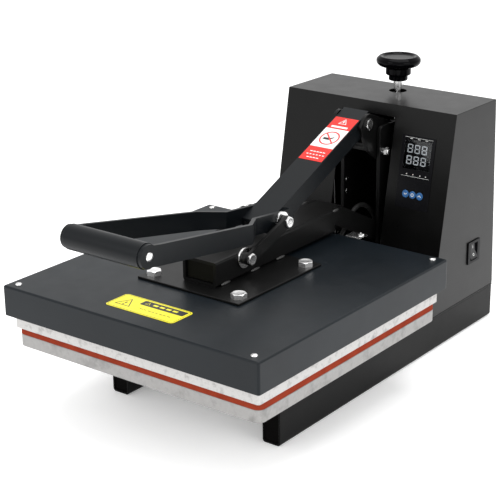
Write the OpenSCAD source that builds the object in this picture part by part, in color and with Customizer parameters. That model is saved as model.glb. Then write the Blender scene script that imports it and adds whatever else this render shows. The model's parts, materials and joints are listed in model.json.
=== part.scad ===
// Clamshell heat press with a toggle lever, a square heat platen and a rear control housing.
// X is to the operator's right, Y runs from the operator to the back, and Z is up.
// The origin is on the bench under the middle of the machine's bounding box.

/* [Platens] */
// Side of the square cast heat platen
platen_w = 380; // [370:1:384]
// Thickness of the heat platen
platen_t = 22; // [18:1:26]
// Middle of the platens, front to back
platen_y = -104.5; // [-106:0.5:-103]
// Width of the fixed lower platen
lower_w = 378; // [370:1:384]
// Depth of the fixed lower platen
lower_d = 374; // [366:1:380]
// Thickness of the lower platen
lower_t = 16; // [12:1:18]
// Height of the lower platen's underside
lower_z = 89.2; // [86:0.1:92]
// Thickness of the silicone pad
pad_t = 8.8; // [6:0.1:10]

/* [Platen cover] */
// Width of the sheet cover over the heat platen
cover_w = 395; // [392:1:400]
// Depth of the sheet cover
cover_d = 399; // [396:1:402]
// Height of the cover's skirt
cover_h = 39.3; // [36:0.1:44]
// How far the platen's edge shows below the skirt
band_h = 17.4; // [12:0.1:20]
// Sheet thickness of the cover and the housing
sheet_t = 1.5; // [1:0.1:2]
// Radius of the cover's folded edges
cover_r = 3; // [2:0.5:5]

/* [Mount plate] */
// Width of the steel plate on the cover
mount_w = 160; // [156:1:170]
// Depth of the steel plate on the cover
mount_d = 170; // [164:1:180]
// Thickness of the steel plate
mount_t = 3; // [3:0.5:4]
// Bolt spacing across the plate
bolt_dx = 134; // [130:1:138]
// Bolt spacing along the plate
bolt_dy = 136; // [132:1:140]

/* [Rails] */
// Width of each base rail
rail_w = 26.5; // [24:0.5:30]
// Height of each base rail
rail_h = 50; // [45:1:52]
// Distance between the rails' centre lines
rail_gauge = 244.3; // [240:0.1:250]
// Front end of the rails
rail_front = -183.5; // [-190:0.5:-170]
// Back end of the rails
rail_back = 334; // [330:1:337]
// Wall of the rail tube
rail_wall = 2.5; // [2:0.5:4]

/* [Housing] */
// Width of the control housing
housing_w = 277.4; // [270:0.1:285]
// Height of the housing's top
housing_top = 328.6; // [325:0.1:332]
// Front edge of the housing's top
top_front = 208.4; // [204:0.1:212]
// Back edge of the housing's top
top_back = 316.5; // [312:0.1:320]
// Lean of the front face from upright, in degrees
front_lean = 10.5; // [9:0.1:12]
// Lean of the back face from upright, in degrees
back_lean = 2.6; // [1:0.1:3]
// Width of the slot that the linkage passes through
slot_w = 88; // [86:1:92]
// Lowest point of the slot
slot_z0 = 122; // [118:1:130]
// Highest point of the slot
slot_z1 = 312; // [305:1:316]

/* [Linkage] */
// Lever pivot on the pressure rocker, as y and z
lever_pivot = [168, 307];
// Toggle pin between the lever and the links
toggle_pivot = [-32, 224];
// Front pin between the links and the swing arm
front_pivot = [-110, 197];
// Swing arm pivot on the frame
arm_pivot = [216, 135];
// Pressure rocker pivot on the frame
rocker_pivot = [194, 265];
// Trunnion nut that the pressure screw turns in
trunnion = [281, 265];
// Radius of the pivot bolts
bolt_r = 5; // [4:0.5:5]
// Running clearance of a pivot hole on its bolt
run_gap = 0.06; // [0.02:0.01:0.1]

/* [Lever] */
// Width of the lever channel
channel_w = 40; // [38:1:40]
// Wall of the lever channel
channel_t = 3.5; // [3:0.5:4]
// Depth of the channel's flanges
channel_h = 24; // [22:1:26]
// Rise of the channel per unit of depth
channel_rise = 0.43; // [0.4:0.01:0.46]
// Thickness of the handle side plates
plate_t = 5; // [4:0.5:5]
// Height of the handle side plates
plate_h = 24.8; // [22:0.1:26]
// Middle of the grip, as y and z
grip_at = [-321, 267.5];
// Radius of the grip tube
grip_r = 15.3; // [14:0.1:16]
// Half width over the handle plates at the grip
grip_half = 61; // [58:1:64]

/* [Swing arm] */
// Width of the swing arm's box tube
arm_w = 52; // [50:1:52]
// Height of the swing arm's box tube
arm_h = 31.8; // [31:0.1:32]
// Front end of the swing arm
arm_front = -165; // [-167:1:-162]
// Back end of the swing arm's box section, where the fork legs start
arm_back = 88; // [84:1:90]
// Thickness of the fork legs
leg_t = 5.5; // [5:0.1:5.5]

/* [Controls] */
// Middle of the control panel, across
panel_x = 86.5; // [84:0.5:90]
// Middle of the control panel, height
panel_z = 243; // [240:1:246]
// Width of the control panel
panel_w = 52; // [50:1:54]
// Height of the control panel
panel_h = 100; // [96:1:104]
// Pitch of the three round buttons
button_pitch = 11.2; // [11:0.1:12]
// Radius of a button
button_r = 5.1; // [4.5:0.1:5.2]

/* [Hidden] */
$fn = 64;

// Heights that follow from the stack of platens
pad_z = lower_z + lower_t;
platen_z = pad_z + pad_t;
platen_top = platen_z + platen_t;
cover_z = platen_z + band_h;
cover_top = cover_z + cover_h;
mount_z = cover_top + mount_t;
arm_z0 = mount_z;
arm_z1 = arm_z0 + arm_h;

// Layers of the linkage from the middle outwards, as distances from x = 0
cheek_in = channel_w / 2;
cheek_out = cheek_in + plate_t;
rocker_in = 20.5;
rocker_t = 5;
frame_in = 27;
frame_t = 5;
frame_out = frame_in + frame_t;
toggle_split = 28.5;
link_in = 33;
link_t = 4;
link_out = link_in + link_t;
leg_out = 25.8;
leg_in = leg_out - leg_t;
head_h = 3.2;
head_r = 8;

// Base deck and frame plates
deck_t = 3;
deck_z = rail_h + deck_t;
frame_front = 186.5;
frame_back = 305;
frame_top = 312;

// Bolts that tie the mount plate to the platen
stud_r = 5;

black = "#232324";
dark = "#3a3a3a";
steel = "#c9ccce";
aluminium = "#c6c6c2";

// Y of the housing's front face and back face at a height
function front_y(z) = top_front - (housing_top - z) * tan(front_lean);
function back_y(z) = top_back + (housing_top - z) * tan(back_lean);
// Height of the lever channel's upper face
function channel_z(y) = 271 + channel_rise * (y - 54);

// An outline in the YZ plane made into a plate that starts at x0
module yz_plate(x0, t) {
  translate([x0, 0, 0]) rotate([90, 0, 90]) linear_extrude(t) children();
}
// A round bar along X at a point p in the YZ plane
module bar_x(p, x0, x1, r) {
  translate([x0, p[0], p[1]]) rotate([0, 90, 0]) cylinder(r = r, h = x1 - x0);
}
// A hexagon along X at a point p in the YZ plane
module hex_x(p, x0, x1, r) {
  translate([x0, p[0], p[1]]) rotate([0, 90, 0]) cylinder(r = r, h = x1 - x0, $fn = 6);
}
// The left-hand copy of a right-hand piece
module on_side(side) {
  mirror([side < 0 ? 1 : 0, 0, 0]) children();
}
module both_sides() {
  on_side(1) children();
  on_side(-1) children();
}
// Points on an arc about c, from angle a0 to a1
function arc(c, r, a0, a1, n = 12) =
  [for (i = [0 : n]) let (a = a0 + (a1 - a0) * i / n) c + r * [cos(a), sin(a)]];
function heading(p, q) = atan2(q[1] - p[1], q[0] - p[0]);
function turn(a, b) = (b - a + 720) % 360;
// Angle at which the outer tangent of two circles touches the first one
function touch(p, q, r, s) = heading(p, q) - acos((r - s) / norm(q - p));
// Outline round a convex loop of circles with centres p and radii r, taken anticlockwise
function round_loop(p, r) = [for (i = [0 : len(p) - 1])
  let (n = len(p), h = (i + n - 1) % n, j = (i + 1) % n,
       a = touch(p[h], p[i], r[h], r[i]), b = touch(p[i], p[j], r[i], r[j]))
    each arc(p[i], r[i], a, a + turn(a, b))];
// A rectangle with round corners, centred on the origin
module round_rect(w, d, r) {
  square([w - 2 * r, d], center = true);
  square([w, d - 2 * r], center = true);
  for (i = [-1, 1], j = [-1, 1]) translate([i * (w / 2 - r), j * (d / 2 - r)]) circle(r);
}
// Places a flat piece on the leaning front face: X across, Y up the face, Z outwards
module on_front(x, z) {
  translate([x, front_y(z), z]) rotate([90 - front_lean, 0, 0]) children();
}
// The four bolt positions of the mount plate
module at_bolts() {
  for (i = [-1, 1], j = [-1, 1])
    translate([i * bolt_dx / 2, platen_y + j * bolt_dy / 2, 0]) children();
}
// The four corners of a rectangle
module at_corners(dx, dy) {
  for (i = [-1, 1], j = [-1, 1]) translate([i * dx, j * dy, 0]) children();
}

// ---- Base ----
rail_x = rail_gauge / 2;
rail_r = 4;
module rail() {
  translate([rail_x, rail_back, rail_h / 2]) rotate([90, 0, 0])
    linear_extrude(rail_back - rail_front) difference() {
      round_rect(rail_w, rail_h, rail_r);
      round_rect(rail_w - 2 * rail_wall, rail_h - 2 * rail_wall, rail_r - rail_wall);
    }
}
module rail_left() color(dark) on_side(-1) rail();
module rail_right() color(dark) rail();

// Moulded plugs pushed into the rails' ends
plug_t = 6;
module end_plug(w, h, r, y) {
  translate([0, y, 0]) rotate([90, 0, 0]) linear_extrude(plug_t) round_rect(w, h, r);
}
module rail_end_plugs() color("#161616") both_sides()
  for (y = [rail_front + plug_t + 1, rail_back - 1])
    translate([rail_x, 0, rail_h / 2])
      end_plug(rail_w - 2 * rail_wall, rail_h - 2 * rail_wall, rail_r - rail_wall, y);

// Two folded channels that carry the lower platen on the rails
cross_w = 40;
cross_t = 3;
module cross_channel() {
  difference() {
    translate([-rail_x - rail_w / 2, -cross_w / 2, rail_h])
      cube([2 * rail_x + rail_w, cross_w, lower_z - rail_h]);
    translate([-rail_x - rail_w, -cross_w / 2 + cross_t, rail_h - 1])
      cube([4 * rail_x, cross_w - 2 * cross_t, lower_z - rail_h - cross_t + 1]);
  }
}
module cross_channels() color(black)
  for (y = [-120, 40]) translate([0, y, 0]) cross_channel();

// Cast plate with round corners
corner_r = 10;
module lower_platen() color(aluminium)
  translate([0, platen_y, lower_z]) linear_extrude(lower_t) round_rect(lower_w, lower_d, corner_r);
module silicone_pad() color("#c0472c")
  translate([0, platen_y, pad_z]) linear_extrude(pad_t) round_rect(lower_w, lower_d, corner_r);

module base_deck() color(black)
  translate([-housing_w / 2, front_y(deck_z), rail_h])
    cube([housing_w, back_y(deck_z) - front_y(deck_z), deck_t]);

// ---- Frame inside the housing ----
foot_w = 24;
foot_t = 4;
front_top = 300;
module frame_plate() {
  difference() {
    yz_plate(frame_in, frame_t) polygon(concat(
      [[frame_back, deck_z], [frame_back, frame_top], [262, frame_top], [250, front_top]],
      arc([frame_front + 8, front_top - 8], 8, 90, 180), [[frame_front, deck_z]]));
    bar_x(rocker_pivot, frame_in - 1, frame_out + 1, bolt_r + 0.02);
    bar_x(arm_pivot, frame_in - 1, frame_out + 1, pin_r + 0.02);
  }
  translate([frame_out, frame_front, deck_z]) cube([foot_w, frame_back - frame_front, foot_t]);
}
// Where the supply lead goes through the left plate
lead_hole = [262, 115];
module frame_plate_left() color(black) difference() {
  on_side(-1) frame_plate();
  bar_x(lead_hole, -frame_out - 1, -frame_in + 1, 7);
}
module frame_plate_right() color(black) frame_plate();

// Block between the frame plates that holds the pressure screw from above
bridge_z = 294;
bridge_h = 16;
bridge_d = 36;
module screw_bridge() color("#8f9294") difference() {
  translate([-frame_in, trunnion[0] - bridge_d / 2, bridge_z]) cube([2 * frame_in, bridge_d, bridge_h]);
  translate([0, trunnion[0], bridge_z - 1]) cylinder(r = bolt_r + run_gap, h = bridge_h + 2);
}

// Socket heads into the bridge, button heads on the left plate, and hex heads on the feet
module frame_bolts() color(steel) {
  both_sides() for (y = [trunnion[0] - 11, trunnion[0] + 11])
    bar_x([y, bridge_z + bridge_h / 2], frame_out, frame_out + 5, 4.5);
  both_sides() for (y = [frame_front + 14, frame_back - 14])
    translate([frame_out + foot_w / 2, y, deck_z + foot_t]) cylinder(r = 7, h = 5, $fn = 6);
  for (z = [196, 214]) bar_x([frame_front + 8, z], -frame_in, -frame_in + 0.9, 3.4);
}

// ---- Housing ----
half_w = housing_w / 2;
hatch_w = 30;
switch_y = 268;
switch_z = 119;
knob_hole_r = 12.5;
// The housing's side outline, drawn in by a sheet thickness where asked
module housing_outline(inset) {
  f = inset / cos(front_lean);
  polygon([
    [front_y(deck_z) + f, deck_z], [front_y(housing_top) + f, housing_top - inset],
    [back_y(housing_top), housing_top - inset], [back_y(deck_z), deck_z]]);
}
module housing_shell() color(black) difference() {
  yz_plate(-half_w, housing_w) housing_outline(0);
  yz_plate(-half_w + sheet_t, housing_w - 2 * sheet_t) {
    housing_outline(sheet_t);
    translate([front_y(deck_z) + sheet_t * 2, deck_z - 5]) square([180, 6]);
    polygon([[top_front + 40, deck_z], [top_front + 40, housing_top - sheet_t],
      [top_back + 40, housing_top - sheet_t], [top_back + 40, deck_z]]);
  }
  translate([-slot_w / 2, top_front - 70, slot_z0]) cube([slot_w, 90, slot_z1 - slot_z0]);
  on_front(panel_x, panel_z) cube([panel_w - 8, panel_h - 8, 20], center = true);
  translate([0, trunnion[0], housing_top - 10]) cylinder(r = knob_hole_r, h = 20);
  translate([half_w, switch_y, switch_z]) cube([20, hatch_w - 2, hatch_w - 2], center = true);
}

// Removable back with louvred vents and the inlet's opening
inlet_w = 47;
inlet_h = 27;
inlet_z = 84;
panel_gap = 0.5;
rear_top = housing_top - 2 * sheet_t;
vent_n = 6;
module on_back(x, z) {
  translate([x, back_y(z), z]) rotate([90 - back_lean, 0, 180]) children();
}
module rear_panel() color(black) difference() {
  yz_plate(-half_w + sheet_t + panel_gap, housing_w - 2 * (sheet_t + panel_gap)) polygon([
    [back_y(deck_z) - sheet_t, deck_z], [back_y(rear_top) - sheet_t, rear_top],
    [back_y(rear_top), rear_top], [back_y(deck_z), deck_z]]);
  for (i = [0 : vent_n - 1], x = [-60, 60])
    on_back(x, 200 + i * 14) cube([70, 5, 20], center = true);
  on_back(-70, inlet_z) cube([inlet_w, inlet_h, 20], center = true);
}
// Pan heads round the back panel
module housing_screws() color(steel)
  for (x = [-half_w + 12, 0, half_w - 12], z = [deck_z + 14, housing_top - 14])
    on_back(x, z) cylinder(r = 3.6, h = 2.2);

// ---- Controls ----
panel_t = 1.2;
window_w = 42;
window_h = 40;
window_up = 24;
button_down = -30.6;
lens_t = 2;
module control_panel() color("#101012") difference() {
  on_front(panel_x, panel_z) linear_extrude(panel_t) round_rect(panel_w, panel_h, 2);
  on_front(panel_x, panel_z) translate([0, window_up, -1]) linear_extrude(panel_t + 2)
    square([window_w, window_h], center = true);
  for (i = [-1 : 1]) on_front(panel_x, panel_z) translate([i * button_pitch, button_down, -1])
    cylinder(r = button_r + 0.3, h = panel_t + 2);
}

// Seven-segment digits in two rows of three, raised on the display block
digit_w = 8.2;
digit_h = 12;
digit_pitch = 11.2;
row_pitch = 15.8;
seg_w = 1.5;
seg_t = 0.4;
display_z = -1.0;
module digit() {
  for (y = [-1, 0, 1]) translate([0, y * (digit_h - seg_w) / 2, seg_t / 2])
    cube([digit_w - 2 * seg_w - 0.4, seg_w, seg_t], center = true);
  for (x = [-1, 1], y = [-1, 1]) translate([x * (digit_w - seg_w) / 2, y * digit_h / 4, seg_t / 2])
    cube([seg_w, digit_h / 2 - seg_w * 0.7, seg_t], center = true);
}
module digit_segments() color("#dfe4e4")
  on_front(panel_x - 2, panel_z) translate([0, window_up, display_z])
    for (row = [-1, 1], i = [-1 : 1])
      translate([i * digit_pitch, row * row_pitch / 2, 0]) digit();

// Circuit board behind the panel with the display block and three key switches
board_t = 1.6;
board_z = -12;
module controller_board() color("#1c5a34") on_front(panel_x, panel_z) {
  translate([-20, -44, board_z - board_t]) cube([40, 88, board_t]);
  translate([-window_w / 2, window_up - window_h / 2, board_z])
    cube([window_w, window_h, display_z - board_z]);
  for (i = [-1 : 1]) translate([i * button_pitch - 3, button_down - 3, board_z]) cube([6, 6, 5]);
  for (y = [-10, -18]) translate([-15, y, board_z - board_t - 12]) cube([30, 6, 12]);
}

// A button: a low dome on a stem that reaches its key switch
button_h = 1.6;
button_travel = 0.8;
module button(i) color("#2f7fd0") on_front(panel_x, panel_z)
  translate([i * button_pitch, button_down, 0]) {
    translate([0, 0, panel_t - 1]) cylinder(r = button_r, h = button_h);
    translate([0, 0, board_z + 5 + button_travel + 0.1])
      cylinder(r = 2, h = panel_t - 1 - board_z - 5 - button_travel - 0.1);
  }
module button_left() button(-1);
module button_middle() button(0);
module button_right() button(1);

// Solid state relay with its cooling fins, on the deck
module power_relay() color("#d8d8d2") {
  translate([-112, 240, deck_z]) cube([46, 60, 22]);
  for (i = [0 : 7]) translate([-112 + i * 6, 240, deck_z + 22]) cube([2.5, 60, 14]);
  translate([64, 250, deck_z]) cube([44, 40, 38]);
}

// Square rocker switch: a bezel, a hollow body and two spade tabs
bezel_t = 2;
switch_d = 24;
well_d = 10;
paddle_in = 3.5;
paddle_tilt = 9;
stub_r = 1.5;
module switch_housing() color("#131314") translate([half_w, switch_y, switch_z]) difference() {
  union() {
    translate([0, -16, -16]) cube([bezel_t, 32, 32]);
    translate([-switch_d, -14, -14]) cube([switch_d, 28, 28]);
    for (y = [-7, 7]) translate([-switch_d - 8, y - 3, -0.4]) cube([8, 6, 0.8]);
  }
  translate([-well_d, -9.5, -12.5]) cube([20, 19, 25]);
  translate([-paddle_in, 11.5, 0]) rotate([90, 0, 0]) cylinder(r = stub_r + run_gap, h = 23);
}
// Rocker paddle with its two faces at a shallow angle, and its pivot stubs
module switch_rocker() color("#e8e8e4") translate([half_w - paddle_in, switch_y, switch_z])
  rotate([0, -paddle_tilt, 0]) {
    translate([0, 9, 0]) rotate([90, 0, 0]) linear_extrude(18) polygon([
      [-4, -4], [-1, -11], [4.5, -11.2], [3, 0], [4.5, 11.2], [-1, 11], [-4, 4]]);
    translate([0, 11, 0]) rotate([90, 0, 0]) cylinder(r = stub_r, h = 22);
  }

// Mains inlet with three blades in a recess
module power_inlet() color("#131314") on_back(-70, inlet_z) {
  difference() {
    union() {
      translate([-25, -15, 0]) cube([50, 30, 2.5]);
      translate([-(inlet_w - 1) / 2, -(inlet_h - 1) / 2, -18]) cube([inlet_w - 1, inlet_h - 1, 18]);
    }
    translate([-12, -8, -14]) cube([24, 16, 20]);
  }
  for (p = [[-7, -2], [0, 2], [7, -2]]) translate([p[0] - 1, p[1] - 2, -15]) cube([2, 4, 13]);
}

// ---- Pivot bolts held by the frame ----
module rocker_pivot_bolt() color(steel) {
  bar_x(rocker_pivot, -frame_out - 1, frame_out + 5.5, bolt_r);
  hex_x(rocker_pivot, -frame_out - 4, -frame_out, 8);
  hex_x(rocker_pivot, frame_out + 5, frame_out + 9, 6.2);
}
pin_r = bolt_r + 1;
// Bolt with a head, a nut, a spacer tube between the legs and a ring outside each leg
module arm_pivot_bolt() color(steel) {
  bar_x(arm_pivot, -frame_out - 1, frame_out + 10, pin_r);
  hex_x(arm_pivot, -frame_out - 6, -frame_out, 11);
  difference() {
    hex_x(arm_pivot, frame_out, frame_out + 8, 11);
    bar_x(arm_pivot, frame_out - 1, frame_out + 9, pin_r);
  }
  difference() {
    bar_x(arm_pivot, -leg_in + 0.1, leg_in - 0.1, 8.5);
    bar_x(arm_pivot, -leg_in, leg_in, pin_r);
  }
  both_sides() difference() {
    bar_x(arm_pivot, leg_out + 0.1, frame_in, 11);
    bar_x(arm_pivot, leg_out, frame_in + 1, pin_r);
  }
}

// ---- Pressure rocker ----
rocker_out = rocker_in + rocker_t;
rocker_r = 13;
journal_r = 6;
rocker_nose = [152.5, 305];
rocker_heel = [169.5, 272];
module rocker_plate() difference() {
  yz_plate(rocker_in, rocker_t) polygon(round_loop(
    [lever_pivot, rocker_nose, rocker_heel, rocker_pivot, trunnion],
    [rocker_r + 1, 4, 4, rocker_r, rocker_r]));
  bar_x(lever_pivot, rocker_in - 1, rocker_out + 1, bolt_r + run_gap);
  bar_x(rocker_pivot, rocker_in - 1, rocker_out + 1, bolt_r + run_gap);
  bar_x(trunnion, rocker_in - 1, rocker_out + 1, journal_r + 0.02);
}
module rocker_plate_left() color(black) on_side(-1) rocker_plate();
module rocker_plate_right() color(black) rocker_plate();
// Cross nut with a tapped hole for the pressure screw
module trunnion_nut() color("#b8a05a") difference() {
  union() {
    bar_x(trunnion, -rocker_in, rocker_in, 11);
    bar_x(trunnion, -rocker_out, rocker_out, journal_r);
  }
  translate([0, trunnion[0], trunnion[1] - 20]) cylinder(r = bolt_r + 0.6, h = 40);
}

// ---- Pressure knob and screw ----
knob_top = 379;
knob_rim = 15.5;
knob_r = 31.5;
// Outline of the knob, turned about the screw: dished disc, hub and collar
module pressure_knob() color("#0d0d0e") translate([0, trunnion[0], 0]) rotate_extrude($fn = 96)
  difference() {
    union() {
      translate([0, knob_top - knob_rim]) square([knob_r - knob_rim / 2, knob_rim - 2]);
      translate([knob_r - knob_rim / 2, knob_top - knob_rim / 2]) circle(knob_rim / 2, $fn = 40);
      translate([0, 352]) square([18, 12]);
      translate([0, 344]) square([13.5, 9]);
    }
    translate([-40, 300]) square([40, 100]);
    translate([-1, 343]) square([bolt_r + 1, 20]);
  }
// Screw turned about its axis: two collars that hold it in the bridge, a neck and a shoulder
collar_r = 9;
collar_h = 6;
collar_gap = 0.2;
low_collar = bridge_z - collar_gap;
high_collar = bridge_z + bridge_h + collar_gap;
module pressure_screw() color(steel) translate([0, trunnion[0], 0]) rotate_extrude() polygon([
  [0, 238], [bolt_r, 238], [bolt_r, low_collar - collar_h], [collar_r, low_collar - collar_h],
  [collar_r, low_collar], [bolt_r, low_collar], [bolt_r, high_collar], [collar_r, high_collar],
  [collar_r, high_collar + collar_h], [bolt_r, high_collar + collar_h], [bolt_r, 319], [4, 320],
  [4, 333], [6.5, 333], [6.5, 344], [bolt_r, 344], [bolt_r, 363], [0, 363]]);

// ---- Lever ----
channel_front = -54;
channel_end = 175;
channel_drop = channel_h * sqrt(1 + channel_rise * channel_rise);
channel_cut = arm_z1 + 5.5;
module channel_outline(inset) {
  y_cut = 54 + (channel_cut + channel_drop - 271) / channel_rise;
  polygon([
    [channel_front, channel_cut], [channel_front, channel_z(channel_front) - inset],
    [channel_end, channel_z(channel_end) - inset], [lever_pivot[0] + 16, lever_pivot[1] - 5],
    [lever_pivot[0] + 10, channel_z(lever_pivot[0] + 10) - channel_drop], [y_cut, channel_cut]]);
}
module lever_channel() color(dark) difference() {
  yz_plate(-channel_w / 2, channel_w) channel_outline(0);
  yz_plate(-channel_w / 2 + channel_t, channel_w - 2 * channel_t) {
    channel_outline(channel_t * 1.09);
    translate([channel_front - 1, channel_cut - 2]) square([60, 8]);
    translate([channel_front - 1, channel_cut - 2])
      square([20, channel_z(channel_front) - channel_t * 1.2 - channel_cut + 2]);
    polygon([[lever_pivot[0], lever_pivot[1] - 20], [lever_pivot[0] - 150, lever_pivot[1] - 110],
      [lever_pivot[0] + 30, lever_pivot[1] - 30], [lever_pivot[0] + 30, lever_pivot[1] + 4],
      [lever_pivot[0], lever_pivot[1] + 4]]);
  }
  bar_x(toggle_pivot, -30, 30, bolt_r);
  bar_x(lever_pivot, -30, 30, bolt_r);
}

// Handle side plate: straight from the grip, bent in, then flat on the channel
bend_y0 = -117;
bend_y1 = -83;
cheek_back = -4;
bend_half = 46;
plate_r = plate_h / 2;
cheek_r = 11;
bend_drop = 34.5;
end_r = 14.2;
module plate_plan() polygon([
  [grip_half, grip_at[0] - 20], [grip_half, grip_at[0] + 20], [bend_half, bend_y0],
  [cheek_out, bend_y1], [cheek_out, cheek_back + 20], [cheek_in, cheek_back + 20],
  [cheek_in, bend_y1 - 1.5], [bend_half - plate_t, bend_y0 - 1.5],
  [grip_half - plate_t, grip_at[0] + 20], [grip_half - plate_t, grip_at[0] - 20]]);
// Outline along a line of points, with its own half height at each and an arc round each end
function mitre(p, i, r) = let (
    a = heading(p[max(i - 1, 0)], p[max(i, 1)]),
    b = heading(p[min(i, len(p) - 2)], p[min(i + 1, len(p) - 1)]),
    m = (a + b) / 2)
  r / cos((b - a) / 2) * [-sin(m), cos(m)];
plate_line = [
  grip_at, [bend_y0, grip_at[1] - bend_drop], [bend_y1 - 3, toggle_pivot[1] + 5.5],
  toggle_pivot, [cheek_back - cheek_r, toggle_pivot[1]]];
plate_half = [plate_r, plate_r, cheek_r, cheek_r, cheek_r];
module plate_side() {
  n = len(plate_line) - 1;
  a = heading(plate_line[0], plate_line[1]);
  open = asin(plate_r / end_r);
  polygon(concat(
    arc(plate_line[0], end_r, a + open, a + 360 - open, 24),
    [for (i = [1 : n - 1]) plate_line[i] - mitre(plate_line, i, plate_half[i])],
    arc(plate_line[n], cheek_r, -90, 90),
    [for (i = [n - 1 : -1 : 1]) plate_line[i] + mitre(plate_line, i, plate_half[i])]));
}
module handle_plate() difference() {
  intersection() {
    translate([0, 0, 150]) linear_extrude(200) plate_plan();
    yz_plate(0, 100) plate_side();
  }
  bar_x(toggle_pivot, 0, 60, bolt_r);
  bar_x(grip_at, 0, 80, 4.1);
}
module handle_plate_left() color(dark) on_side(-1) handle_plate();
module handle_plate_right() color(dark) handle_plate();

grip_wall = 3;
module grip_tube() color(black) difference() {
  bar_x(grip_at, -grip_half + plate_t, grip_half - plate_t, grip_r);
  bar_x(grip_at, -grip_half, grip_half, grip_r - grip_wall);
}
// Tie rod through the grip, riveted over at each end
module grip_rod() color(steel) {
  bar_x(grip_at, -grip_half, grip_half, 4);
  both_sides() bar_x(grip_at, grip_half, grip_half + 1.8, 5.5);
}
// Pin through the channel and both cheeks, with a spacer ring outside each cheek
module toggle_pin() color(steel) {
  bar_x(toggle_pivot, -toggle_split, toggle_split, bolt_r);
  both_sides() difference() {
    bar_x(toggle_pivot, cheek_out, toggle_split, 12);
    bar_x(toggle_pivot, cheek_out - 1, toggle_split + 1, bolt_r);
  }
}
module lever_pivot_bolt() color(steel) {
  bar_x(lever_pivot, -rocker_out - 1.5, rocker_out + 1.5, bolt_r);
  both_sides() difference() {
    hex_x(lever_pivot, rocker_out + 0.4, rocker_out + 2.8, 8.2);
    bar_x(lever_pivot, rocker_out, rocker_out + 1.5, bolt_r);
  }
}
// Printed label on the channel's upper face
label_y0 = 66;
label_y1 = 154;
label_w = 37;
label_t = 0.4;
module warning_label() color("#ee3a2b") yz_plate(-label_w / 2, label_w) polygon([
  [label_y0, channel_z(label_y0)], [label_y1, channel_z(label_y1)],
  [label_y1, channel_z(label_y1) + label_t], [label_y0, channel_z(label_y0) + label_t]]);

// ---- Toggle links ----
link_r = 8;
sleeve_r = 7.5;
module link() difference() {
  yz_plate(link_in, link_t) polygon(round_loop([front_pivot, toggle_pivot], [link_r, link_r]));
  bar_x(front_pivot, link_in - 1, link_out + 1, bolt_r + run_gap);
  bar_x(toggle_pivot, link_in - 1, link_out + 1, bolt_r);
}
module link_left() color(black) on_side(-1) link();
module link_right() color(black) link();
// A bolt in each link's upper end, with a sleeve towards the lever
module link_bolts() color(steel) both_sides() {
  bar_x(toggle_pivot, toggle_split + 0.5, link_out + 1, bolt_r);
  difference() {
    bar_x(toggle_pivot, toggle_split + 0.5, link_in, sleeve_r);
    bar_x(toggle_pivot, toggle_split, link_in + 1, bolt_r);
  }
  difference() {
    hex_x(toggle_pivot, link_out, link_out + head_h, head_r);
    bar_x(toggle_pivot, link_out - 1, link_out + 1, bolt_r);
  }
}

// ---- Swing arm ----
arm_wall = 4;
tongue_back = 112;
module box_tube(w, h, y0, y1) {
  translate([0, y1, 0]) rotate([90, 0, 0]) linear_extrude(y1 - y0) difference() {
    round_rect(w, h, 3);
    round_rect(w - 2 * arm_wall, h - 2 * arm_wall, 1);
  }
}
arm_mid = (arm_z0 + arm_z1) / 2;
// Box tube whose upper wall runs on as a tongue between the fork legs
module swing_arm() color(black) difference() {
  translate([0, 0, arm_mid]) box_tube(arm_w, arm_h, arm_front, tongue_back);
  bar_x(front_pivot, -40, 40, bolt_r);
  translate([-40, arm_back, arm_z0 - 10]) cube([80, 60, arm_h + 10 - arm_wall]);
  both_sides() translate([leg_in - 0.1, arm_back, arm_z0 - 10]) cube([20, 60, arm_h + 20]);
}
plug_in = 4;
module arm_end_plug() color("#1c1c14")
  translate([0, arm_front + plug_in + 4, arm_mid]) rotate([90, 0, 0])
    linear_extrude(4) round_rect(arm_w - 2 * arm_wall, arm_h - 2 * arm_wall, 1);

// Fork leg: follows on from the tube's side, then runs down to the pivot between the frame plates
leg_boss = 13.5;
leg_heel = [arm_back, 186];
leg_knee = [108, arm_z1];
module leg_side() {
  up = heading(leg_knee, arm_pivot) + asin(leg_boss / norm(arm_pivot - leg_knee)) + 90;
  down = heading(leg_heel, arm_pivot) - asin(leg_boss / norm(arm_pivot - leg_heel)) - 90;
  polygon(concat([leg_heel, [arm_back, arm_z1], leg_knee], arc(arm_pivot, leg_boss, up, down, 20)));
}
module fork_leg() difference() {
  yz_plate(leg_in, leg_t) leg_side();
  bar_x(arm_pivot, leg_in - 1, leg_out + 1, pin_r + run_gap);
}
module fork_leg_left() color(black) on_side(-1) fork_leg();
module fork_leg_right() color(black) fork_leg();

// Bolt through the arm and both links, with a large washer and a sleeve on each side of the arm
module front_pivot_bolt() color(steel) {
  bar_x(front_pivot, -link_out - 1, link_out + 1, bolt_r);
  both_sides() difference() {
    bar_x(front_pivot, arm_w / 2, toggle_split, 13);
    bar_x(front_pivot, arm_w / 2 - 1, link_in, bolt_r);
  }
  both_sides() difference() {
    bar_x(front_pivot, toggle_split, link_in - 0.3, sleeve_r);
    bar_x(front_pivot, toggle_split - 1, link_in, bolt_r);
  }
  both_sides() difference() {
    hex_x(front_pivot, link_out + 0.3, link_out + 0.3 + head_h, head_r);
    bar_x(front_pivot, link_out, link_out + 1, bolt_r);
  }
}

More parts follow.
